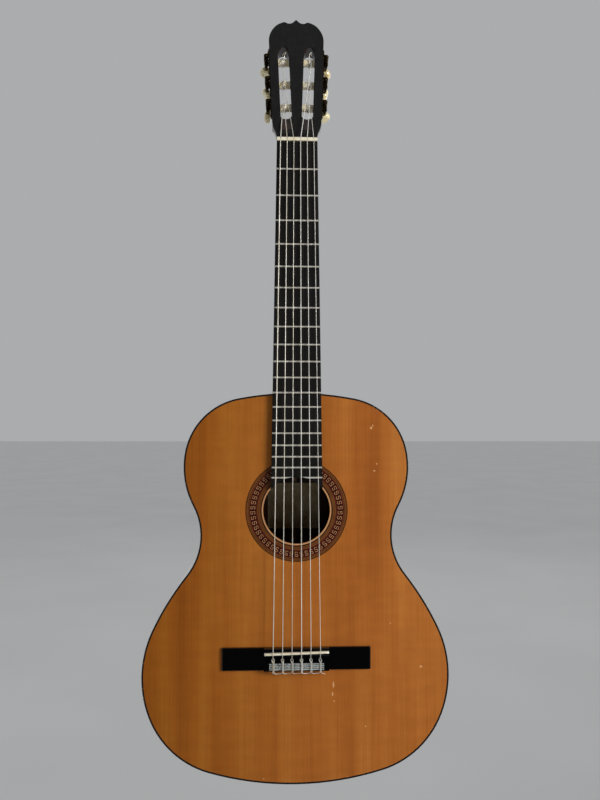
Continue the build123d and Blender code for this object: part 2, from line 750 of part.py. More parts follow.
def roller_bores():
    """Cutter for the six roller bores, blind in the middle of the head."""
    depth = ROLLER_REACH + ROLLER_GAP
    cut = []
    for place in ROLLER_PLACES:
        bore = side_frame(place) * along_x(-depth, BORE_OVERRUN, ROLLER_RADIUS + ROLLER_GAP)
        cut += [bore, mirror(bore, about=Plane.YZ)]
    return cut


def screw_bores():
    """Cutter for the pilot holes of the plates' screws."""
    cut = []
    for place in PLATE_SCREWS:
        bore = side_frame(ROLLER_PLACES[0] + place) * along_x(-SCREW_LENGTH, BORE_OVERRUN, SCREW_RADIUS)
        cut += [bore, mirror(bore, about=Plane.YZ)]
    return cut


def heel_section(y, width, length, point):
    """The heel's plan at one depth: flat against the body, with a rounded nose."""
    base = JOIN_Z - 3
    half = width / 2
    rise = length + 3
    tip = base + rise
    flank = base + rise * point
    shoulder = half * (1 - point)
    nose = [
        Bezier((half, base), (half, flank), (shoulder, tip), (0, tip)),
        Bezier((0, tip), (-shoulder, tip), (-half, flank), (-half, base)),
    ]
    return FRONT.offset(-y) * make_face(Curve() + nose + [Line((-half, base), (half, base))])


def make_neck_wood():
    """Shaft and throat, before the heel, the slots and the bores."""
    shaft = loft(
        [
            neck_section(level(JOIN_Z - 3), board_half_width(JOIN_Z - 3), NECK_DEPTH_HEEL, 29.5, 18.0),
            neck_section(level(JOIN_Z / 2), board_half_width(JOIN_Z / 2), 17.2, 27.0, 16.7),
            neck_section(level(THROAT_Z), board_half_width(THROAT_Z), NECK_DEPTH_NUT, 25.0, 15.0),
        ]
    )
    throat = loft(
        [
            neck_section(level(THROAT_Z), board_half_width(THROAT_Z), NECK_DEPTH_NUT, 25.0, 15.0),
            neck_section(across_head(4), NUT_WIDTH / 2 + 0.8, 18.4, 20.0, 13.5),
            neck_section(across_head(HEAD_FLARE_END), HEAD_LOW_HALF + 0.3, HEAD_THICKNESS, 1.2, 1.2),
        ]
    )
    plan = extrude(HEAD * head_outline(), amount=60, both=True)
    below = Pos(0, 0, NUT_THICKNESS + 1 - 200) * Box(200, 300, 400)
    return shaft + (throat & (plan + below))


def make_neck():
    """Shaft, heel and slotted head, carved from one blank."""
    plate = extrude(HEAD * head_outline(), amount=-HEAD_THICKNESS)
    head = plate & (HEAD.location * (Pos(0, HEAD_FLARE_END + 100 - 0.5, 0) * Box(200, 200, 100)))
    wood = make_neck_wood() + head
    wood += loft([heel_section(*section) for section in HEEL_SECTIONS])
    wood -= slab(body_face(), -1, DEEP)
    wood -= slab(Pos(0, -250 + NUT_THICKNESS) * Rectangle(200, 500), -50, 0)
    wood -= extrude(HEAD.offset(-VENEER_THICKNESS) * (Pos(0, 150) * Rectangle(200, 400)), amount=60)
    wood -= slab(Pos(0, JOIN_Z) * Rectangle(80, 60), DOME_AT_JOIN - HEEL_CAP_THICKNESS, DEEP)
    for cutter in [head_slots()] + roller_bores() + screw_bores():
        wood -= cutter
    return wood


def make_head_veneer():
    """The dark plate glued on the head's face, with the same slots."""
    plate = above_nut(extrude(HEAD * head_outline(), amount=-VENEER_THICKNESS))
    return plate - head_slots()


def make_heel_cap():
    """The dark cap on the heel's end, flush with the back."""
    heel = loft([heel_section(*section) for section in HEEL_SECTIONS]) - slab(body_face(), -1, DEEP)
    return heel & slab(Pos(0, JOIN_Z) * Rectangle(80, 60), DOME_AT_JOIN - HEEL_CAP_THICKNESS, DOME_AT_JOIN)


# ---------------------------------------------------------------- tuning machines


def along_x(start, end, radius):
    """A round bar along local x."""
    return Pos((start + end) / 2, 0, 0) * Cylinder(radius, end - start, rotation=(0, 90, 0))


def along_z(start, end, radius):
    """A round bar along local z."""
    return Pos(0, 0, (start + end) / 2) * Cylinder(radius, end - start)


WORM_AXIS = Pos(GEAR_MIDDLE, AXIS_DISTANCE, 0)


def worm_lug(z):
    """A bearing standing on the plate for the worm's shaft, rounded at its top."""
    reach = GEAR_MIDDLE - PLATE_THICKNESS
    foot = Pos(PLATE_THICKNESS + reach / 2, AXIS_DISTANCE, z) * Box(reach, LUG_WIDTH, LUG_THICKNESS)
    top = WORM_AXIS * along_z(z - LUG_THICKNESS / 2, z + LUG_THICKNESS / 2, LUG_WIDTH / 2)
    hole = WORM_AXIS * along_z(z - 5, z + 5, WORM_SHAFT_RADIUS + SHAFT_CLEARANCE)
    return foot + top - hole


def make_plate():
    """The treble side's plate: round ends, three pairs of lugs, holes for the rollers and the screws."""
    length = ROLLER_PLACES[-1] - ROLLER_PLACES[0] + PLATE_BELOW + PLATE_ABOVE
    middle = (ROLLER_PLACES[-1] + ROLLER_PLACES[0] - PLATE_BELOW + PLATE_ABOVE) / 2 - ROLLER_PLACES[0]
    flat = Plane(origin=(0, middle, 0), x_dir=(0, 1, 0), z_dir=(1, 0, 0))
    plate = extrude(flat * SlotOverall(length, PLATE_WIDTH), amount=PLATE_THICKNESS)
    for place in ROLLER_PLACES:
        machine = Pos(0, place - ROLLER_PLACES[0], 0)
        for z in (LUG_INNER + LUG_THICKNESS / 2, -LUG_INNER - LUG_THICKNESS / 2):
            plate += machine * worm_lug(z)
        plate -= machine * along_x(-1, 3, JOURNAL_RADIUS + SHAFT_CLEARANCE)
    for place in PLATE_SCREWS:
        plate -= Pos(0, place, 0) * along_x(-1, 3, SCREW_RADIUS)
    return side_frame(ROLLER_PLACES[0]) * plate


def make_plate_screws():
    """Eight round-headed wood screws, four in each plate."""
    head = along_x(PLATE_THICKNESS, PLATE_THICKNESS + SCREW_HEAD_HEIGHT, SCREW_HEAD_RADIUS)
    head = fillet(head.faces().sort_by(Axis.X)[-1].edges(), 0.8)
    top = PLATE_THICKNESS + SCREW_HEAD_HEIGHT
    head -= Pos(top, 0, 0) * Box(*DRIVER_SLOT)
    screw = head + along_x(-SCREW_LENGTH, PLATE_THICKNESS, SCREW_RADIUS)
    screws = []
    for place in PLATE_SCREWS:
        one = side_frame(ROLLER_PLACES[0] + place) * screw
        screws += [one, mirror(one, about=Plane.YZ)]
    return Compound(children=screws)


def spigot():
    """The roller's square end, which the gear is pushed on."""
    length = SPIGOT_END - HUB_START
    return Pos((HUB_START + SPIGOT_END) / 2, 0, 0) * Box(length, SPIGOT_WIDTH, SPIGOT_WIDTH)


def make_roller(number):
    """The string's roller: a barrel, its journal in the plate and a square spigot for the gear."""
    barrel = along_x(-ROLLER_REACH, -END_FLOAT, ROLLER_RADIUS)
    barrel = fillet(barrel.edges().filter_by(GeomType.CIRCLE), 0.4)
    roller = barrel + along_x(-END_FLOAT, HUB_START, JOURNAL_RADIUS)
    roller += spigot()
    roller -= along_x(SPIGOT_END - GEAR_SCREW_DEPTH, SPIGOT_END + 1, GEAR_SCREW_RADIUS)
    roller -= Pos(-SLOT_WALL - SLOT_WIDTH / 2, 0, 0) * Cylinder(STRING_HOLE_RADIUS, 3 * ROLLER_RADIUS)
    return on_its_side(machine_frame(number) * roller, number)


def gear_outline():
    """Fourteen trapezoid teeth, the first centred on local y."""
    root = GEAR_PITCH_RADIUS - DEDENDUM * MODULE
    tip = GEAR_PITCH_RADIUS + ADDENDUM * MODULE
    tooth = pi * MODULE / 2 - BACKLASH / 2
    slope = tan(radians(PRESSURE_ANGLE))
    points = []
    for i in range(GEAR_TEETH):
        at = 2 * pi * i / GEAR_TEETH
        half_root = (tooth / 2 + DEDENDUM * MODULE * slope) / root
        half_tip = (tooth / 2 - ADDENDUM * MODULE * slope) / tip
        for radius, offset in ((root, -half_root), (tip, -half_tip), (tip, half_tip), (root, half_root)):
            turn = at + offset
            points.append((radius * cos(turn), radius * sin(turn)))
    return make_face(Polyline(*points, close=True))


def make_gear(number):
    """Gear with slanted teeth and a hub, and the screw that holds it on the roller."""
    plane = Plane(origin=(GEAR_INNER, 0, 0), x_dir=(0, 1, 0), z_dir=(1, 0, 0))
    twist = degrees(GEAR_WIDTH * tan(radians(LEAD_ANGLE)) / GEAR_PITCH_RADIUS)
    face = plane * (Rot(0, 0, -twist / 2) * gear_outline())
    centre = (GEAR_INNER, 0, 0)
    wheel = Part() + Solid.extrude_linear_with_rotation(face.face(), centre, (GEAR_WIDTH, 0, 0), twist)
    gear = wheel + along_x(HUB_START, GEAR_INNER, HUB_RADIUS)
    gear -= spigot()
    gear -= along_x(SPIGOT_END - 1, GEAR_OUTER + 1, GEAR_SCREW_RADIUS)
    top = GEAR_OUTER + GEAR_SCREW_HEAD_HEIGHT
    head = along_x(GEAR_OUTER, top, GEAR_SCREW_HEAD_RADIUS)
    head = fillet(head.faces().sort_by(Axis.X)[-1].edges(), 0.7)
    head -= Pos(top, 0, 0) * Box(*DRIVER_SLOT)
    screw = head + along_x(SPIGOT_END - GEAR_SCREW_DEPTH, GEAR_OUTER, GEAR_SCREW_RADIUS)
    frame = machine_frame(number)
    return Compound(children=[on_its_side(frame * gear, number), on_its_side(frame * screw, number)])


def worm_thread():
    """The worm's screw thread round local z, trimmed between the lugs."""
    root = WORM_PITCH_RADIUS - DEDENDUM * MODULE
    width = WORM_PITCH / 2 - BACKLASH / 2
    slope = tan(radians(PRESSURE_ANGLE))
    inner = root - 0.15
    half_in = width / 2 + (WORM_PITCH_RADIUS - inner) * slope
    half_out = width / 2 - ADDENDUM * MODULE * slope
    height = WORM_LENGTH + 2 * WORM_PITCH
    path = Helix(WORM_PITCH, height, WORM_PITCH_RADIUS)
    tip = WORM_TIP_RADIUS
    profile = Plane.XZ * make_face(
        Polyline((inner, -half_in), (inner, half_in), (tip, half_out), (tip, -half_out), close=True)
    )
    thread = sweep(profile, path=path, is_frenet=True)
    turns = Pos(0, 0, -WORM_PITCH * round(height / 2 / WORM_PITCH)) * Rot(0, 0, 90) * thread
    return turns & along_z(-WORM_LENGTH / 2, WORM_LENGTH / 2, WORM_TIP_RADIUS + 1)


def make_worm_blank():
    """Worm, shaft and collar round local z; the button's end points to the back."""
    root = WORM_PITCH_RADIUS - DEDENDUM * MODULE
    outer = LUG_INNER + LUG_THICKNESS
    blank = along_z(-WORM_LENGTH / 2, WORM_LENGTH / 2, root) + worm_thread()
    blank += along_z(-TENON_END, outer + END_FLOAT, WORM_SHAFT_RADIUS)
    flange = along_z(outer + END_FLOAT, outer + END_FLOAT + FLANGE_THICKNESS, FLANGE_RADIUS)
    blank += fillet(flange.faces().sort_by(Axis.Z)[-1].edges(), 0.6)
    return blank + along_z(-COLLAR_END, -outer - END_FLOAT, COLLAR_RADIUS)


def make_button_blank(turn):
    """An oval paddle on the end of the worm's shaft."""
    middle = -BUTTON_START - BUTTON_LENGTH / 2
    oval = Plane.XZ * (Pos(0, middle) * Ellipse(BUTTON_WIDTH / 2, BUTTON_LENGTH / 2))
    paddle = extrude(oval, amount=BUTTON_THICKNESS / 2, both=True)
    paddle = fillet(paddle.edges(), BUTTON_THICKNESS / 2 - 0.6)
    paddle -= along_z(-COLLAR_END, 0, BUTTON_WIDTH)
    paddle -= along_z(-TENON_END, 0, WORM_SHAFT_RADIUS)
    return Rot(0, 0, turn) * paddle


# ---------------------------------------------------------------- strings


def roller_contact(number):
    """Where a string meets its roller, in the head's frame: its place across the head, and the axis there."""
    place = number if number <= 3 else 7 - number
    t = ROLLER_PLACES[place - 1]
    side = 1 if number <= 3 else -1
    x = slot_centre_x(t) + STRING_ON_ROLLER
    return side * x, t + (side_half_width(t) - x) * tan(radians(HEAD_SPLAY))


def string_route(number):
    """Corners of a string's line from its roller to the bridge."""
    radius = STRING_RADII[number - 1]
    x_nut = string_x(number, NUT_STRING_SPREAD)
    x_saddle = string_x(number, SADDLE_STRING_SPREAD)
    y_nut = nut_string_y(number)
    bend_radius = CROWN_RADIUS + radius + 0.1
    y_crown = saddle_crown_y(x_saddle) + CROWN_RADIUS - bend_radius
    fall = atan2(-TIE_HOLE_HEIGHT - y_crown, saddle_z(x_saddle) - TIE_MOUTH_Z)
    z_crown = saddle_z(x_saddle) - bend_radius * tan(fall / 2)
    share = NUT_BEND_Z / z_crown
    bend = (x_nut + (x_saddle - x_nut) * share, y_nut + (y_crown - y_nut) * share, NUT_BEND_Z)
    x_roller, t = roller_contact(number)
    local = HEAD.to_local_coords(Vector(*bend))
    reach = ROLLER_RADIUS + ROLLER_STRING_GAP + radius
    run = t - local.Y
    drop = local.Z + HEAD_MIDDLE
    far = hypot(run, drop)
    swing = atan2(-drop, run) + asin(reach / far)
    length = sqrt(far**2 - reach**2)
    contact = HEAD.from_local_coords((x_roller, local.Y + length * cos(swing), local.Z + length * sin(swing)))
    behind = BRIDGE_BACK_Z - radius - 1.6
    over = -TIE_HEIGHT - radius - 0.4
    return [
        tuple(contact),
        bend,
        (x_saddle, y_crown, z_crown),
        (x_saddle, -TIE_HOLE_HEIGHT, TIE_MOUTH_Z),
        (x_saddle, -TIE_HOLE_HEIGHT, behind),
        (x_saddle, over, behind),
        (x_saddle, over, TIE_FRONT_Z + 0.4),
    ]


def make_string(number):
    """One string, from its roller over the nut and saddle, through the tie block and back over it."""
    radius = STRING_RADII[number - 1]
    corners = string_route(number)
    path = FilletPolyline(*corners, radius=[3.0, CROWN_RADIUS + radius, 1.6, 1.2, 1.2])
    start = Plane(origin=path @ 0, z_dir=path % 0)
    return sweep(start * Circle(radius), path=path)


def show(name, part):
    export_step(part, os.path.join("parts", name + ".step"))


if __name__ == "__main__":
    os.makedirs("parts", exist_ok=True)
    for file in os.listdir("parts"):
        os.remove(os.path.join("parts", file))
    made = {
        "soundboard": make_soundboard(),
        "rosette": make_rosette(),
        "rib_bass": make_rib(-1),
        "rib_treble": make_rib(1),
        "top_binding": make_top_binding(),
        "back_binding": make_back_binding(),
        "back_bass_half": make_back_half(-1),
        "back_treble_half": make_back_half(1),
        "back_strip": make_back_strip(),
        "linings": make_linings(),
        "neck_block": make_neck_block(),
        "tail_block": make_tail_block(),
        "fan_braces": make_fan_braces(),
        "harmonic_bars": make_harmonic_bars(),
        "back_braces": make_back_braces(),
        "label": make_label(),
        "bridge": make_bridge(),
        "tie_block_inlay": make_tie_inlay(),
        "saddle": make_saddle(),
        "fingerboard": make_fingerboard(),
        "frets": make_frets(),
        "nut": make_nut(),
        "neck": make_neck(),
        "head_veneer": make_head_veneer(),
        "heel_cap": make_heel_cap(),
        "tuner_plate_treble": make_plate(),
        "tuner_plate_bass": mirror(make_plate(), about=Plane.YZ),
        "plate_screws": make_plate_screws(),
    }
    worm = make_worm_blank()
    for number in range(1, STRINGS + 1):
        frame = machine_frame(number) * WORM_AXIS
        button = make_button_blank(BUTTON_TURNS[number - 1])
        made["roller_" + str(number)] = make_roller(number)
        made["gear_" + str(number)] = make_gear(number)
        made["worm_" + str(number)] = on_its_side(frame * worm, number)
        made["button_" + str(number)] = on_its_side(frame * button, number)
        made["string_" + str(number)] = make_string(number)
    for name, part in made.items():
        print(name, len(part.solids()), round(part.volume), part.bounding_box())
        show(name, part)
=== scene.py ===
"""Classical guitar: looks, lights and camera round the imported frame.

Lengths are in metres, and a table in millimetres says so. X is to the treble side, -Y is the way the top
faces, and Z is up the neck, with the origin at the nut.
"""

import json
from math import cos, pi, radians, sin

import bpy
from mathutils import Matrix, Vector


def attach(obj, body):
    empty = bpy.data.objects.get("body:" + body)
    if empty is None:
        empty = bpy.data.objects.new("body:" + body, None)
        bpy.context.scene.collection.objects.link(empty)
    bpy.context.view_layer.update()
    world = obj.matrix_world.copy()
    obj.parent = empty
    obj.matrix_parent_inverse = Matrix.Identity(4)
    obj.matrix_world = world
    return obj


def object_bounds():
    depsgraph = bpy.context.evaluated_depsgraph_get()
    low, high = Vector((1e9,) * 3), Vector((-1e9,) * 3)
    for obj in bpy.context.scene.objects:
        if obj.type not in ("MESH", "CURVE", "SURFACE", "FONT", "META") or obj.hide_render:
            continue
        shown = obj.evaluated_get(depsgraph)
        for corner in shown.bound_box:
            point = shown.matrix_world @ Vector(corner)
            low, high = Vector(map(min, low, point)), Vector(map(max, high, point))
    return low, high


MM = 0.001
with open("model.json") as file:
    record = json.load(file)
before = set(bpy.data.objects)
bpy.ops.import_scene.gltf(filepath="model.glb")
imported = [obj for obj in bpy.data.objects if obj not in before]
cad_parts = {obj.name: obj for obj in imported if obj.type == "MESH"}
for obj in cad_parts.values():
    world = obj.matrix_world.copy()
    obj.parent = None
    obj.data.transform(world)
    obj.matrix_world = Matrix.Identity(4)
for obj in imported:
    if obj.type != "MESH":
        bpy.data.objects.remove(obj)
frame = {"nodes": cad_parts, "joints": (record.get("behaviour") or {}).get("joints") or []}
CAD_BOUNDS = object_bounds()
NODES = frame["nodes"]
JOINTS = {joint["name"]: joint for joint in frame["joints"]}
LOW, HIGH = (Vector(corner) for corner in CAD_BOUNDS)

STRINGS = range(1, 7)
FIRST_WOUND_STRING = 4
WINDING_PITCH = 0.22 * MM
HEAD_TILT = radians(12)
UP_THE_HEAD = Vector((0, sin(HEAD_TILT), cos(HEAD_TILT)))
# The neck's wood darkens between these heights, from the neck to the head
DARK_HEAD_FROM, DARK_HEAD_TO = -6 * MM, 26 * MM

# The soundhole and the rosette round it
HOLE = Vector((0, 0, -475 * MM))
LIP_RADIUS = 44.3 * MM
ROSETTE_INNER, ROSETTE_OUTER = 45.2 * MM, 65.3 * MM

# The rosette's key pattern
KEY_UNITS = 54
KEY_INNER, KEY_OUTER = 52.7 * MM, 58.8 * MM
KEY_LINE = 0.27 * MM
KEY_THICKNESS = 0.03 * MM
# One S-shaped hook of it, on a grid of 7 across and 6 out, with the hook's middle at 3 across
KEY_GRID = (7, 6)
KEY_MIDDLE = 3
KEY_PATH = ((5.0, 4.7), (5.0, 5.7), (1.4, 5.7), (1.4, 3.2), (5.0, 3.2), (5.0, 0.5), (1.4, 0.5), (1.4, 1.4))

# The tie block's pearl plate
RULING_PITCH = 2.3 * MM
INLAY_MIDDLE = Vector((0, 0, -669.7 * MM))
INLAY_HALF = (34.2 * MM, 4.2 * MM)
INLAY_EDGE = 0.2 * MM

# The turns round a roller: the hole lies this far in from the end of the straight string, the first turn lies
# beside that end, by so many string radii, and a turn takes so many steps
HOLE_FROM_CONTACT = 3.6 * MM
FIRST_STEP = 2.7
TURN_PITCH = 2.15
STEPS_PER_TURN = 18

FLOOR_DROP = 0.3
FLOOR_HALF = 30.0
BACKDROP_TONE = 0.42
CAMERA_PLACE = (-32.9 * MM, -897.4 * MM, -365.2 * MM)
CAMERA_PITCH = 1.98
CAMERA_YAW = -2.37
CAMERA_ROLL = 0.05
CAMERA_LENS = 31.5


# ---------------------------------------------------------------- node helpers


class Finish:
    """A procedural material: a Principled shader and what feeds it."""

    def __init__(self, name, **sockets):
        self.material = bpy.data.materials.new(name)
        self.material.use_nodes = True
        self.tree = self.material.node_tree
        self.tree.nodes.clear()
        out = self.tree.nodes.new("ShaderNodeOutputMaterial")
        self.shader = self.tree.nodes.new("ShaderNodeBsdfPrincipled")
        self.tree.links.new(self.shader.outputs[0], out.inputs[0])
        for socket, value in sockets.items():
            self.set(self.shader, socket.replace("_", " "), value)

    def set(self, node, socket, value):
        """Links an output to a socket, or sets the socket's own value."""
        target = node.inputs[socket]
        if isinstance(value, bpy.types.NodeSocket):
            self.tree.links.new(value, target)
            return
        if isinstance(value, tuple) and len(value) == 3 and target.type == "RGBA":
            value = (*value, 1.0)
        target.default_value = value

    def add(self, kind, inputs=(), **settings):
        """A node with its settings, and its inputs by name or number."""
        node = self.tree.nodes.new("ShaderNode" + kind)
        for key, value in settings.items():
            setattr(node, key, value)
        for socket, value in dict(inputs).items():
            self.set(node, socket, value)
        return node

    def place(self, scale=(1, 1, 1), offset=(0, 0, 0)):
        """Coordinates in the row frame, stretched."""
        where = self.add("TexCoord").outputs["Object"]
        return self.add("Mapping", {"Vector": where, "Scale": scale, "Location": offset}).outputs[0]

    def noise(self, size, scale=(1, 1, 1), detail=3.0, rough=0.5, offset=(0, 0, 0), distortion=0.0):
        """Noise whose features are about size metres across, stretched along the axes by 1 / scale."""
        inputs = {"Vector": self.place(scale, offset), "Scale": 1 / size, "Detail": detail}
        inputs.update({"Roughness": rough, "Distortion": distortion})
        return self.add("TexNoise", inputs).outputs[0]

    def ramp(self, value, stops, smooth=True):
        """A colour ramp over (place, colour) stops."""
        node = self.add("ValToRGB", {0: value})
        node.color_ramp.interpolation = "LINEAR" if smooth else "CONSTANT"
        elements = node.color_ramp.elements
        while len(elements) < len(stops):
            elements.new(1.0)
        for element, (at, colour) in zip(elements, stops):
            element.position = at
            element.color = (*colour, 1.0)
        return node.outputs[0]

    def mask(self, value, low, high):
        """0 below low, 1 above high, smooth between."""
        inputs = {"Value": value, "From Min": low, "From Max": high}
        return self.add("MapRange", inputs, interpolation_type="SMOOTHSTEP").outputs[0]

    def math(self, operation, a, b=0.0):
        """A sum, product or the like of two values."""
        return self.add("Math", {0: a, 1: b}, operation=operation).outputs[0]

    def mix(self, factor, a, b, blend="MIX"):
        """Colour b over colour a."""
        node = self.add("Mix", {0: factor}, data_type="RGBA", blend_type=blend)
        self.set(node, 6, a)
        self.set(node, 7, b)
        return node.outputs[2]

    def bump(self, height, depth):
        """Bump whose full height is depth metres."""
        return self.add("Bump", {"Height": height, "Distance": depth, "Strength": 1.0}).outputs[0]

    def stripes(self, pitch):
        """Even stripes across Z, 0 to 1, the given distance apart."""
        inputs = {"Vector": self.place(), "Scale": 1 / (2 * pi * pitch) * 2, "Distortion": 0.0}
        return self.add("TexWave", inputs, bands_direction="Z").outputs[1]


def linear(red, green, blue):
    """A colour given as it shows on a screen, 0 to 255, as linear light."""
    out = []
    for channel in (red, green, blue):
        c = channel / 255
        out.append(c / 12.92 if c <= 0.04045 else ((c + 0.055) / 1.055) ** 2.4)
    return tuple(out)


def paint(finish, *nodes):
    """Gives a finish to CAD nodes."""
    for name in nodes:
        mesh = NODES[name].data
        mesh.materials.clear()
        mesh.materials.append(finish.material)


# ---------------------------------------------------------------- finishes


def radius_from_hole(finish):
    """Distance from the soundhole's centre, across the top."""
    where = finish.place(offset=(-HOLE.x, 0, -HOLE.z))
    flat = finish.add("VectorMath", {0: where, 1: (1, 0, 1)}, operation="MULTIPLY").outputs[0]
    return finish.add("VectorMath", {0: flat}, operation="LENGTH").outputs["Value"]


# Small dents in the varnish: (across, up, half width, half height), in millimetres
DINGS = (
    (96, -370, 1.5, 1.9),
    (98, -367, 0.9, 1.3),
    (103, -416, 1.1, 1.0),
    (100, -425, 1.5, 0.9),
    (120, -619, 0.9, 0.8),
    (159, -674, 2.1, 1.3),
    (47, -695, 1.2, 4.2),
    (46, -707, 1.1, 2.6),
    (48, -716, 0.9, 1.0),
    (88, -748, 0.9, 0.9),
    (65, -811, 1.2, 0.9),
    (106, -803, 1.3, 1.0),
    (-41, -811, 1.1, 0.7),
)


def top_finish():
    """Amber-varnished spruce: upright grain, broad bands, a paler lip at the hole, small dents, and painted
    shade that darkens the bass side.
    """
    gloss = {"Coat_Weight": 0.7, "Coat_Roughness": 0.07}
    finish = Finish("amber_spruce", Roughness=0.4, Specular_IOR_Level=0.12, **gloss)
    bands = finish.noise(0.045, (1, 1, 0.06), detail=2.0, offset=(0.31, 0, 0))
    fine = finish.noise(0.0022, (1, 1, 0.01), detail=4.0, rough=0.65)
    hair = finish.noise(0.0007, (1, 1, 0.02), detail=2.0, rough=0.6)
    flame = finish.noise(0.02, (0.5, 1, 1.6), detail=2.0, offset=(0, 0, 0.7))
    tones = [(0.30, linear(164, 92, 34)), (0.48, linear(184, 109, 44))]
    tones += [(0.62, linear(195, 122, 54)), (0.74, linear(187, 112, 46))]
    base = finish.ramp(bands, tones)
    grain = finish.ramp(fine, [(0.30, (0.62, 0.55, 0.48)), (0.52, (1, 1, 1)), (0.75, (1.0, 0.97, 0.92))])
    colour = finish.mix(0.4, base, grain, "MULTIPLY")
    lines = finish.ramp(hair, [(0.35, (0.75, 0.68, 0.6)), (0.55, (1, 1, 1))])
    colour = finish.mix(0.22, colour, lines, "MULTIPLY")
    sheen = finish.ramp(flame, [(0.35, (0.9, 0.88, 0.86)), (0.65, (1.06, 1.06, 1.05))])
    colour = finish.mix(0.5, colour, sheen, "MULTIPLY")
    # Painted shade: the bass side, away from the key light, is painted darker and more orange than the treble
    # side.
    side = finish.add("SeparateXYZ", {0: finish.place()}).outputs[0]
    bass_shade_mask = finish.mask(side, -220 * MM, 110 * MM)
    painted_bass_shade = finish.ramp(bass_shade_mask, [(0.0, (0.72, 0.68, 0.30)), (1.0, (1, 1, 1))])
    colour = finish.mix(1.0, colour, painted_bass_shade, "MULTIPLY")
    radius = radius_from_hole(finish)
    lip = finish.mask(radius, LIP_RADIUS + 0.4 * MM, LIP_RADIUS)
    edge = finish.mask(radius, ROSETTE_INNER + 0.3 * MM, ROSETTE_INNER + 0.1 * MM)
    colour = finish.mix(edge, colour, linear(70, 40, 22))
    colour = finish.mix(lip, colour, linear(206, 152, 104))
    dents = None
    ragged = finish.noise(0.002, detail=4.0, rough=0.7)
    for across, up, half_width, half_height in DINGS:
        scale = (1 / (half_width * MM), 0, 1 / (half_height * MM))
        offset = (-across / half_width, 0, -up / half_height)
        where = finish.place(scale, offset)
        far = finish.add("VectorMath", {0: where}, operation="LENGTH").outputs["Value"]
        rough = finish.math("ADD", far, finish.math("MULTIPLY", ragged, 1.6))
        one = finish.mask(rough, 1.9, 1.5)
        dents = one if dents is None else finish.math("MAXIMUM", dents, one)
    colour = finish.mix(finish.math("MULTIPLY", dents, 0.8), colour, linear(232, 178, 124))
    finish.set(finish.shader, "Base Color", colour)
    height = finish.math("SUBTRACT", finish.math("MULTIPLY", fine, 0.35), dents)
    finish.set(finish.shader, "Normal", finish.bump(height, 0.00006))
    return finish


def rosette_finish():
    """Ring inlay: olive and red-brown bands between fine dark and pale lines."""
    gloss = {"Coat_Weight": 0.8, "Coat_Roughness": 0.08}
    finish = Finish("rosette_mosaic", Roughness=0.4, Specular_IOR_Level=0.12, **gloss)
    across = finish.mask(radius_from_hole(finish), ROSETTE_INNER, ROSETTE_OUTER)
    across.node.interpolation_type = "LINEAR"
    dark, red, olive = linear(36, 14, 9), linear(98, 40, 22), linear(116, 70, 32)
    line, key = linear(150, 92, 50), linear(58, 18, 12)
    # Each band's inner radius in millimetres, and its colour
    rings = [(45.2, dark), (46.1, olive), (48.0, linear(104, 62, 28)), (49.6, line), (50.1, dark)]
    rings += [(50.7, red), (51.9, dark), (52.3, key), (59.2, dark), (59.7, red), (60.8, line), (61.2, dark)]
    rings += [(61.7, olive), (63.6, linear(98, 58, 26)), (64.6, dark)]
    width = ROSETTE_OUTER - ROSETTE_INNER
    stops = [((r * MM - ROSETTE_INNER) / width, colour) for r, colour in rings]
    base = finish.ramp(across, stops, smooth=False)
    speck = finish.noise(0.0012, detail=3.0, rough=0.7)
    tone = finish.ramp(speck, [(0.3, (0.55, 0.5, 0.48)), (0.55, (1, 1, 1)), (0.75, (1.5, 1.4, 1.25))])
    colour = finish.mix(0.7, base, tone, "MULTIPLY")
    patch = finish.noise(0.012, detail=2.0)
    shade = finish.ramp(patch, [(0.3, (0.7, 0.7, 0.72)), (0.7, (1.25, 1.2, 1.15))])
    finish.set(finish.shader, "Base Color", finish.mix(0.6, colour, shade, "MULTIPLY"))
    return finish


def wood_finish(name, dark, light, gloss=0.8, rough=0.35, pores=0.5):
    """Wood with its grain running up the guitar: broad bands, fine lines and open pores."""
    finish = Finish(name, Roughness=rough, Coat_Weight=gloss, Coat_Roughness=0.09)
    bands = finish.noise(0.02, (1, 1, 0.06), detail=3.0, distortion=0.4)
    fine = finish.noise(0.0016, (1, 1, 0.03), detail=4.0, rough=0.65)
    pore = finish.noise(0.00064, (1, 1, 0.075), detail=2.0, rough=0.7)
    base = finish.ramp(bands, [(0.3, dark), (0.7, light)])
    lines = finish.ramp(fine, [(0.32, (0.45, 0.42, 0.4)), (0.55, (1, 1, 1)), (0.8, (1.25, 1.2, 1.15))])
    colour = finish.mix(0.6, base, lines, "MULTIPLY")
    holes = finish.ramp(pore, [(0.30, (0.35, 0.33, 0.32)), (0.42, (1, 1, 1))])
    finish.set(finish.shader, "Base Color", finish.mix(pores, colour, holes, "MULTIPLY"))
    finish.set(finish.shader, "Normal", finish.bump(pore, 0.00003))
    return finish


def neck_finish():
    """Red-brown neck wood, darker where it becomes the head."""
    finish = wood_finish("neck_hardwood", linear(62, 30, 19), linear(100, 54, 32), gloss=0.45, rough=0.42)
    wood = finish.shader.inputs["Base Color"].links[0].from_socket
    up = finish.add("SeparateXYZ", {0: finish.place()}).outputs[2]
    # The wood's colour is multiplied darker between these heights, towards the head.
    head = finish.mask(up, DARK_HEAD_FROM, DARK_HEAD_TO)
    head_darkening = finish.ramp(head, [(0.0, (1, 1, 1)), (1.0, (0.22, 0.2, 0.2))])
    finish.set(finish.shader, "Base Color", finish.mix(1.0, wood, head_darkening, "MULTIPLY"))
    return finish


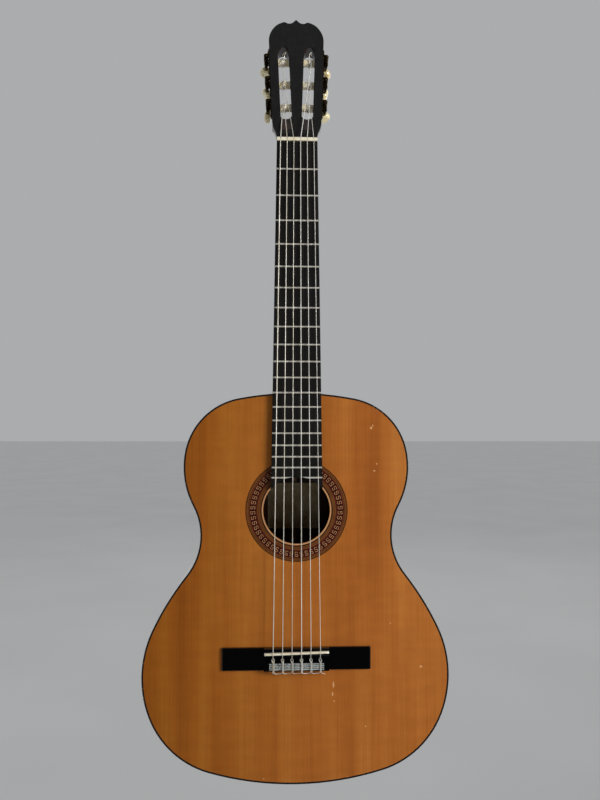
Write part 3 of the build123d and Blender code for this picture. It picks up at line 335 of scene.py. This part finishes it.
def black_finish(name, tone, rough, gloss, streak=0.5):
    """Black-stained hardwood: faint streaks, and patches that handling has polished."""
    finish = Finish(name, Coat_Weight=gloss, Coat_Roughness=0.12, Specular_IOR_Level=0.3 - 0.3 * gloss)
    streaks = finish.noise(0.0018, (1, 1, 0.02), detail=4.0, rough=0.7)
    deep, pale = tuple(0.55 * c for c in tone), tuple(2.2 * c for c in tone)
    base = finish.ramp(streaks, [(0.35, deep), (0.6, tone), (0.8, pale)])
    finish.set(finish.shader, "Base Color", base)
    worn = finish.noise(0.02, (1, 1, 0.5), detail=3.0)
    value = finish.math("ADD", rough, finish.math("MULTIPLY", finish.math("SUBTRACT", worn, 0.5), 0.25))
    finish.set(finish.shader, "Roughness", value)
    finish.set(finish.shader, "Normal", finish.bump(streaks, 0.00004 * streak))
    return finish


def binding_finish():
    """Black edge binding, scuffed in places down to paler wood."""
    finish = Finish("black_binding", Roughness=0.22, Coat_Weight=0.7, Coat_Roughness=0.08)
    scuff = finish.noise(0.006, detail=5.0, rough=0.75, offset=(0.2, 0.1, 0.4))
    where = finish.noise(0.07, detail=2.0, offset=(0.5, 0, 0.2))
    worn = finish.math("MULTIPLY", finish.mask(scuff, 0.60, 0.66), finish.mask(where, 0.55, 0.62))
    cloud = finish.noise(0.003, detail=3.0)
    black = finish.ramp(cloud, [(0.3, (0.006, 0.006, 0.006)), (0.7, (0.016, 0.015, 0.014))])
    finish.set(finish.shader, "Base Color", finish.mix(worn, black, linear(150, 104, 62)))
    finish.set(finish.shader, "Normal", finish.bump(worn, -0.00008))
    return finish


def metal_finish(name, bright, dull, rough, patina, metallic=1.0):
    """Metal with darker patina in patches and fine scratches."""
    finish = Finish(name, Metallic=metallic)
    age = finish.noise(0.004, detail=5.0, rough=0.7)
    shift = 0.2 * (0.5 - patina)
    spread = finish.mask(age, 0.35 + shift, 0.62 + shift)
    finish.set(finish.shader, "Base Color", finish.mix(spread, dull, bright))
    scratch = finish.noise(0.0006, (1, 1, 0.15), detail=3.0, rough=0.7)
    roughness = finish.math("ADD", rough, finish.math("MULTIPLY", finish.math("SUBTRACT", 1.0, spread), 0.3))
    finish.set(finish.shader, "Roughness", roughness)
    finish.set(finish.shader, "Normal", finish.bump(scratch, 0.00001))
    return finish


def wound_finish():
    """Silver-plated wire wound on the bass strings, a turn every fifth of a millimetre."""
    finish = Finish("wound_string", Metallic=0.35, Roughness=0.34)
    wave = finish.stripes(WINDING_PITCH)
    tarnish = finish.noise(0.01, (1, 1, 0.2), detail=4.0)
    tone = finish.ramp(tarnish, [(0.35, linear(226, 218, 198)), (0.65, linear(253, 250, 242))])
    turns = finish.ramp(wave, [(0.0, (0.72, 0.7, 0.66)), (0.45, (1, 1, 1))])
    finish.set(finish.shader, "Base Color", finish.mix(0.7, tone, turns, "MULTIPLY"))
    finish.set(finish.shader, "Normal", finish.bump(wave, 0.00002))
    return finish


def nylon_finish():
    """Clear nylon, slightly milky."""
    finish = Finish("clear_nylon", Roughness=0.18, IOR=1.53, Coat_Weight=0.3, Transmission_Weight=0.12)
    cloud = finish.noise(0.008, (1, 1, 0.3), detail=3.0)
    tone = finish.ramp(cloud, [(0.3, linear(228, 224, 212)), (0.7, linear(252, 250, 244))])
    finish.set(finish.shader, "Base Color", tone)
    return finish


def bone_finish():
    """Ivory-coloured bone with faint pores and yellowing."""
    finish = Finish("ivory_bone", Roughness=0.38, Coat_Weight=0.35, Coat_Roughness=0.2)
    cloud = finish.noise(0.006, (0.4, 1, 1), detail=4.0)
    tone = finish.ramp(cloud, [(0.3, linear(240, 228, 190)), (0.7, linear(253, 250, 232))])
    pore = finish.noise(0.0008, (0.3, 1, 1), detail=2.0)
    specks = finish.ramp(pore, [(0.28, (0.75, 0.66, 0.5)), (0.4, (1, 1, 1))])
    finish.set(finish.shader, "Base Color", finish.mix(0.5, tone, specks, "MULTIPLY"))
    return finish


def pearl_finish(name, deep, bright, size):
    """Pearly plastic: swirled flakes that shift from deep to bright."""
    finish = Finish(name, Roughness=0.2, Coat_Weight=0.9, Coat_Roughness=0.05, Specular_IOR_Level=0.7)
    swirl = finish.noise(size * 3, detail=2.0, distortion=2.5)
    cells = finish.add("TexVoronoi", {"Vector": finish.place(), "Scale": 1 / size}, feature="SMOOTH_F1")
    shift = finish.math("ADD", finish.math("MULTIPLY", cells.outputs["Distance"], 0.6), swirl)
    finish.set(finish.shader, "Base Color", finish.ramp(shift, [(0.45, deep), (0.75, bright), (1.0, deep)]))
    finish.set(finish.shader, "Sheen Weight", 0.15)
    return finish


def lined_pearl_finish():
    """The tie block's plate: silvery pearl ruled with fine dark lines along its length, in a dark border."""
    finish = pearl_finish("lined_silver_pearl", linear(92, 98, 98), linear(196, 202, 198), 0.0024)
    pearl = finish.shader.inputs["Base Color"].links[0].from_socket
    dark = finish.ramp(finish.stripes(RULING_PITCH), [(0.25, (0.16, 0.16, 0.16)), (0.55, (1, 1, 1))])
    colour = finish.mix(0.85, pearl, dark, "MULTIPLY")
    where = finish.place(offset=tuple(-c for c in INLAY_MIDDLE))
    split = finish.add("SeparateXYZ", {0: where})
    beyond = []
    for output, half in ((0, INLAY_HALF[0]), (2, INLAY_HALF[1])):
        far = finish.math("ABSOLUTE", split.outputs[output])
        beyond.append(finish.mask(far, half, half + INLAY_EDGE))
    colour = finish.mix(finish.math("MAXIMUM", *beyond), colour, linear(14, 13, 13))
    finish.set(finish.shader, "Base Color", colour)
    return finish


def plastic_finish(name, tone, shade):
    """Moulded plastic, slightly yellowed and uneven."""
    finish = Finish(name, Roughness=0.3, Coat_Weight=0.4, Coat_Roughness=0.15)
    cloud = finish.noise(0.005, detail=4.0, rough=0.6)
    finish.set(finish.shader, "Base Color", finish.ramp(cloud, [(0.3, shade), (0.65, tone)]))
    finish.set(finish.shader, "Normal", finish.bump(cloud, 0.00003))
    return finish


def paper_finish():
    """Aged paper, foxed in places."""
    finish = Finish("aged_paper", Roughness=0.85)
    head_darkening = finish.noise(0.02, detail=5.0, rough=0.65)
    fibre = finish.noise(0.0009, detail=3.0)
    tone = finish.ramp(head_darkening, [(0.3, linear(206, 180, 128)), (0.6, linear(248, 232, 190))])
    threads = finish.ramp(fibre, [(0.3, (0.85, 0.83, 0.8)), (0.6, (1, 1, 1))])
    finish.set(finish.shader, "Base Color", finish.mix(0.6, tone, threads, "MULTIPLY"))
    finish.set(finish.shader, "Normal", finish.bump(fibre, 0.00004))
    return finish


TOP = top_finish()
ROSETTE = rosette_finish()
BODY_WOOD = wood_finish("red_brown_hardwood", linear(58, 24, 12), linear(104, 50, 26))
STRIP_WOOD = wood_finish("pale_strip", linear(150, 104, 58), linear(190, 146, 92), pores=0.2)
BARE = {"gloss": 0.0, "rough": 0.75, "pores": 0.2}
INNER_WOOD = wood_finish("bare_softwood", linear(150, 118, 78), linear(186, 156, 112), **BARE)
NECK_WOOD = neck_finish()
VENEER = black_finish("black_veneer", (0.012, 0.0115, 0.0115), 0.48, 0.0)
BOARD = black_finish("fingerboard_wood", (0.0095, 0.009, 0.0085), 0.42, 0.05, streak=1.0)
BRIDGE = black_finish("bridge_wood", (0.0011, 0.0011, 0.0012), 0.2, 0.8)
BINDING = binding_finish()
FRET = metal_finish("nickel_silver", linear(250, 248, 238), linear(196, 192, 180), 0.32, 0.2, metallic=0.4)
BRASS = metal_finish("blackened_brass", linear(108, 92, 66), linear(22, 18, 14), 0.3, 0.3)
STEEL = metal_finish("dark_screw_steel", linear(150, 142, 128), linear(52, 46, 38), 0.35, 0.5)
WOUND = wound_finish()
NYLON = nylon_finish()
BONE = bone_finish()
PEARL = lined_pearl_finish()
BUTTON = pearl_finish("cream_pearl", linear(206, 172, 104), linear(250, 242, 196), 0.0035)
ROLLER = plastic_finish("ivory_roller", linear(255, 250, 226), linear(240, 216, 160))
PAPER = paper_finish()

paint(TOP, "soundboard")
paint(ROSETTE, "rosette")
paint(BODY_WOOD, "rib_bass", "rib_treble", "back_bass_half", "back_treble_half")
paint(STRIP_WOOD, "back_strip")
paint(BINDING, "top_binding", "back_binding")
paint(INNER_WOOD, "neck_block", "tail_block", "linings", "fan_braces", "harmonic_bars", "back_braces")
paint(PAPER, "label")
paint(NECK_WOOD, "neck")
paint(VENEER, "head_veneer", "heel_cap")
paint(BOARD, "fingerboard")
paint(FRET, "frets")
paint(BONE, "nut", "saddle")
paint(BRIDGE, "bridge")
paint(PEARL, "tie_block_inlay")
paint(BRASS, "tuner_plate_bass", "tuner_plate_treble")
paint(STEEL, "plate_screws")
for number in STRINGS:
    tag = "_" + str(number)
    paint(WOUND if number >= FIRST_WOUND_STRING else NYLON, "string" + tag)
    paint(ROLLER, "roller" + tag)
    paint(BRASS, "gear" + tag, "worm" + tag)
    paint(BUTTON, "button" + tag)


# ---------------------------------------------------------------- pieces


def mesh_piece(name, vertices, faces, finish, body="root"):
    """A new mesh piece that rides on a body."""
    mesh = bpy.data.meshes.new(name)
    mesh.from_pydata([tuple(v) for v in vertices], [], faces)
    mesh.materials.append(finish.material)
    piece = bpy.data.objects.new(name, mesh)
    bpy.context.scene.collection.objects.link(piece)
    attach(piece, body)
    return piece


def add_tile(corners, thickness, vertices, faces):
    """Adds a thin closed tile on four corners, standing thickness in front of them."""
    start = len(vertices)
    for depth in (0.0, -thickness):
        for x, y, z in corners:
            vertices.append((x, y + depth, z))
    a, b, c, d, e, f, g, h = range(start, start + 8)
    faces += [(d, c, b, a), (e, f, g, h), (a, b, f, e), (b, c, g, f), (c, d, h, g), (d, a, e, h)]


def rosette_key():
    """The rosette's pale key pattern, as thin tiles on the dark band."""
    vertices, faces = [], []
    middle = (KEY_INNER + KEY_OUTER) / 2
    unit = 2 * pi * middle / KEY_UNITS

    def polar(across, out):
        """The point this far round the ring and out across it."""
        turn = across / middle
        radius = KEY_INNER + out
        return HOLE.x + radius * sin(turn), 0.0, HOLE.z + radius * cos(turn)

    columns, rows = KEY_GRID
    rise = (KEY_OUTER - KEY_INNER) / rows
    for k in range(KEY_UNITS):
        points = [((k + (u - KEY_MIDDLE) / columns) * unit, v * rise) for u, v in KEY_PATH]
        for (u0, v0), (u1, v1) in zip(points, points[1:]):
            low_u, high_u = min(u0, u1) - KEY_LINE, max(u0, u1) + KEY_LINE
            low_v, high_v = min(v0, v1) - KEY_LINE, max(v0, v1) + KEY_LINE
            around = ((low_u, low_v), (high_u, low_v), (high_u, high_v), (low_u, high_v))
            add_tile([polar(*corner) for corner in around], KEY_THICKNESS, vertices, faces)
    tile = plastic_finish("key_tile", linear(226, 168, 118), linear(190, 128, 80))
    return mesh_piece("rosette_key", vertices, faces, tile)


rosette_key()


def tube(name, points, radius, finish, body="root"):
    """A round string along a smooth curve near its points, closed at both ends."""
    curve = bpy.data.curves.new(name, "CURVE")
    curve.dimensions = "3D"
    spline = curve.splines.new("NURBS")
    spline.points.add(len(points) - 1)
    for point, place in zip(spline.points, points):
        point.co = (*place, 1.0)
    spline.order_u = 3
    spline.use_endpoint_u = True
    spline.resolution_u = 6
    curve.bevel_depth = radius
    curve.bevel_resolution = 2
    curve.use_fill_caps = True
    piece = bpy.data.objects.new(name, curve)
    bpy.context.scene.collection.objects.link(piece)
    mesh = bpy.data.meshes.new_from_object(piece)
    bpy.data.objects.remove(piece)
    for face in mesh.polygons:
        face.use_smooth = True
    mesh.materials.clear()
    mesh.materials.append(finish.material)
    mesh.name = name
    piece = bpy.data.objects.new(name, mesh)
    bpy.context.scene.collection.objects.link(piece)
    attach(piece, body)
    return piece


def string_facts(number):
    """Finish, slot and radius of a string, and the middle of its end at the roller, from its CAD solid."""
    points = [v.co.copy() for v in NODES["string_%d" % number].data.vertices]
    top = max(p.dot(UP_THE_HEAD) for p in points)
    ring = [p for p in points if p.dot(UP_THE_HEAD) > top - 1.3 * MM]
    centre = sum(ring, Vector()) / len(ring)
    radius = max((p - centre).length for p in ring)
    if number >= FIRST_WOUND_STRING:
        return WOUND, "wound_metal", radius, centre
    return NYLON, "nylon", radius, centre


# Loose ends beyond the roller's hole, point by point: (up the head, twice the way out of its face, inwards),
# in millimetres
TAILS = {
    1: ((1.5, 1.5, 0.5), (3.5, 0.5, 1.4), (5.5, -2.5, 2.0)),
    2: ((1.5, 2.0, 0.5), (4.0, 2.0, 1.2), (6.5, -1.0, 2.0)),
    3: ((2.0, 4.0, 0.0), (7.5, 6.0, -0.5), (11.5, 4.0, -2.5), (12.5, 0.5, -4.0), (9.0, -1.5, -3.0)),
    4: ((2.0, 4.0, 0.5), (7.0, 6.5, 2.0), (11.5, 4.5, 3.6), (12.0, 1.0, 1.5), (8.0, -0.5, -1.5)),
    5: ((1.5, 2.0, 0.5), (4.0, 2.0, 1.5), (6.5, -1.0, 2.5)),
    6: ((1.5, 1.5, 0.4), (3.5, 0.5, 1.0), (5.5, -2.5, 1.8)),
}


def string_winding(number):
    """The string's turns round its roller, wound inwards to the roller's hole, and its loose end."""
    finish, slot, radius, start = string_facts(number)
    joint = JOINTS["roller_%d_turn" % number]
    axis = Vector(joint["axis"]).normalized()
    centre = Vector(joint["pos_m"])
    along = (start - centre).dot(axis)
    spoke = start - centre - axis * along
    reach = spoke.length
    spoke.normalize()
    face = axis.cross(UP_THE_HEAD).normalized()
    if face.y > 0:
        face = -face
    across = axis.cross(spoke)
    if across.dot(UP_THE_HEAD) < 0:
        across = -across
    to_face = 2 * pi - spoke.angle(face) if across.dot(face) < 0 else spoke.angle(face)
    turns = round(HOLE_FROM_CONTACT / (TURN_PITCH * radius) - 1.5) + to_face / (2 * pi)
    steps = int(turns * STEPS_PER_TURN)
    first = FIRST_STEP * radius
    points = []
    for i in range(steps + 1):
        turn = 2 * pi * turns * i / steps
        shift = first + (HOLE_FROM_CONTACT - first) * i / steps
        where = spoke * cos(turn) + across * sin(turn)
        points.append(centre + axis * (along - shift) + where * reach)
    hole = centre + axis * (along - HOLE_FROM_CONTACT)
    for up, out, inward in TAILS[number]:
        points.append(hole + UP_THE_HEAD * up * MM + face * (reach + 0.5 * out * MM) - axis * inward * MM)
    return tube("winding_%d" % number, points, radius, finish, "tuner_%d_roller" % number)


# A knot at the bridge: (across from the string's line, Y, Z) of each point, in millimetres
KNOT = (
    (0.0, -8.9, -665.4),
    (-0.5, -9.3, -663.2),
    (-1.7, -8.0, -661.8),
    (-1.6, -6.0, -661.0),
    (0.0, -3.9, -660.8),
    (1.7, -5.2, -661.2),
    (1.7, -7.6, -661.9),
    (0.9, -9.7, -663.6),
    (1.1, -9.7, -666.5),
    (1.2, -9.6, -671.0),
    (1.2, -9.6, -675.0),
    (1.4, -8.2, -677.8),
    (2.4, -6.0, -678.6),
)
# The strings' spacing at the bridge, in millimetres
STRING_STEP = 11.9
# The tail goes on along the block's back edge: (share of the way to the next string, Y, Z)
TAIL_RUN = ((0.35, -5.4, -679.2), (0.65, -5.2, -679.0), (0.95, -5.8, -678.4))
# The first string's tail, which has no neighbour: (across, Y, Z)
LAST_TAIL = ((4.6, -5.6, -679.0), (6.4, -5.2, -680.2))


def string_tie(number):
    """The string's knot over the tie block, and its tail along the block's back edge."""
    finish, slot, radius, _ = string_facts(number)
    x = ((STRINGS[0] + STRINGS[-1]) / 2 - number) * STRING_STEP
    points = [(x + across, y, z) for across, y, z in KNOT]
    if number == 1:
        points += [(x + across, y, z) for across, y, z in LAST_TAIL]
    else:
        points += [(x + share * STRING_STEP, y, z) for share, y, z in TAIL_RUN]
    points = [Vector(p) * MM for p in points]
    return tube("tie_%d" % number, points, radius * 0.9, finish)


for number in STRINGS:
    string_winding(number)
    string_tie(number)


# ---------------------------------------------------------------- floor, light and camera


def stage_floor():
    """A plain pale floor under the hanging guitar."""
    half = FLOOR_HALF
    z = LOW.z - FLOOR_DROP
    mesh = bpy.data.meshes.new("floor")
    corners = [(-half, -half, z), (half, -half, z), (half, half, z), (-half, half, z)]
    mesh.from_pydata(corners, [], [(0, 1, 2, 3)])
    finish = Finish("floor", Roughness=0.8)
    cloud = finish.noise(0.5, detail=2.0)
    tone = finish.ramp(cloud, [(0.3, (0.80, 0.80, 0.795)), (0.7, (0.84, 0.84, 0.835))])
    finish.set(finish.shader, "Base Color", tone)
    mesh.materials.append(finish.material)
    floor = bpy.data.objects.new("floor", mesh)
    bpy.context.scene.collection.objects.link(floor)
    floor.visible_glossy = False


def area_light(name, place, target, size, power, colour=(1, 1, 1)):
    """A soft square light of so many watts, pointed at a target."""
    data = bpy.data.lights.new(name, "AREA")
    data.size = size
    data.energy = power
    data.color = colour
    light = bpy.data.objects.new(name, data)
    light.location = place
    light.rotation_euler = (Vector(target) - Vector(place)).to_track_quat("-Z", "Y").to_euler()
    bpy.context.scene.collection.objects.link(light)
    return light


def light_the_scene():
    """A soft window-like light on the right, which leaves the floor out, two weak lights, and a dim room."""
    middle = (LOW + HIGH) / 2
    key = area_light("key", (1.9, -1.5, 0.1), middle, 1.1, 56, (1.0, 0.975, 0.95))
    lit = bpy.data.collections.new("lit_by_key")
    made = [piece for piece in bpy.context.scene.objects if piece.type == "MESH" and piece.name != "floor"]
    for piece in list(NODES.values()) + made:
        if piece.name not in lit.objects:
            lit.objects.link(piece)
    key.light_linking.receiver_collection = lit
    area_light("fill", (-2.0, -1.1, 0.7), middle, 1.2, 6, (0.95, 0.97, 1.0))
    area_light("rim", (0.6, 2.4, 1.6), middle, 2.6, 8)
    world = bpy.data.worlds.new("studio")
    world.use_nodes = True
    tree = world.node_tree
    background = tree.nodes["Background"]
    towards = tree.nodes.new("ShaderNodeTexCoord")
    split = tree.nodes.new("ShaderNodeSeparateXYZ")
    tree.links.new(towards.outputs["Generated"], split.inputs[0])
    # The room is brighter behind the guitar than in front of it, and the camera sees an even tone
    room = tree.nodes.new("ShaderNodeMapRange")
    room.interpolation_type = "SMOOTHSTEP"
    tree.links.new(split.outputs["Y"], room.inputs["Value"])
    for socket, value in (("From Min", -0.75), ("From Max", 0.1), ("To Min", 0.03), ("To Max", 0.55)):
        room.inputs[socket].default_value = value
    path = tree.nodes.new("ShaderNodeLightPath")
    shown = tree.nodes.new("ShaderNodeMix")
    tree.links.new(path.outputs["Is Camera Ray"], shown.inputs[0])
    tree.links.new(room.outputs[0], shown.inputs[2])
    shown.inputs[3].default_value = BACKDROP_TONE
    tree.links.new(shown.outputs[0], background.inputs[1])
    background.inputs[0].default_value = (0.97, 0.985, 1.0, 1.0)
    bpy.context.scene.world = world


def make_camera():
    """The camera, below the middle of the neck, looking slightly up."""
    data = bpy.data.cameras.new("camera")
    data.lens = CAMERA_LENS
    data.sensor_width = 36.0
    data.clip_start = 0.01
    camera = bpy.data.objects.new("camera", data)
    camera.location = CAMERA_PLACE
    camera.rotation_euler = (radians(90 + CAMERA_PITCH), radians(-CAMERA_ROLL), radians(CAMERA_YAW))
    bpy.context.scene.collection.objects.link(camera)
    bpy.context.scene.camera = camera


stage_floor()
light_the_scene()
make_camera()
bpy.context.scene.view_settings.view_transform = "Standard"
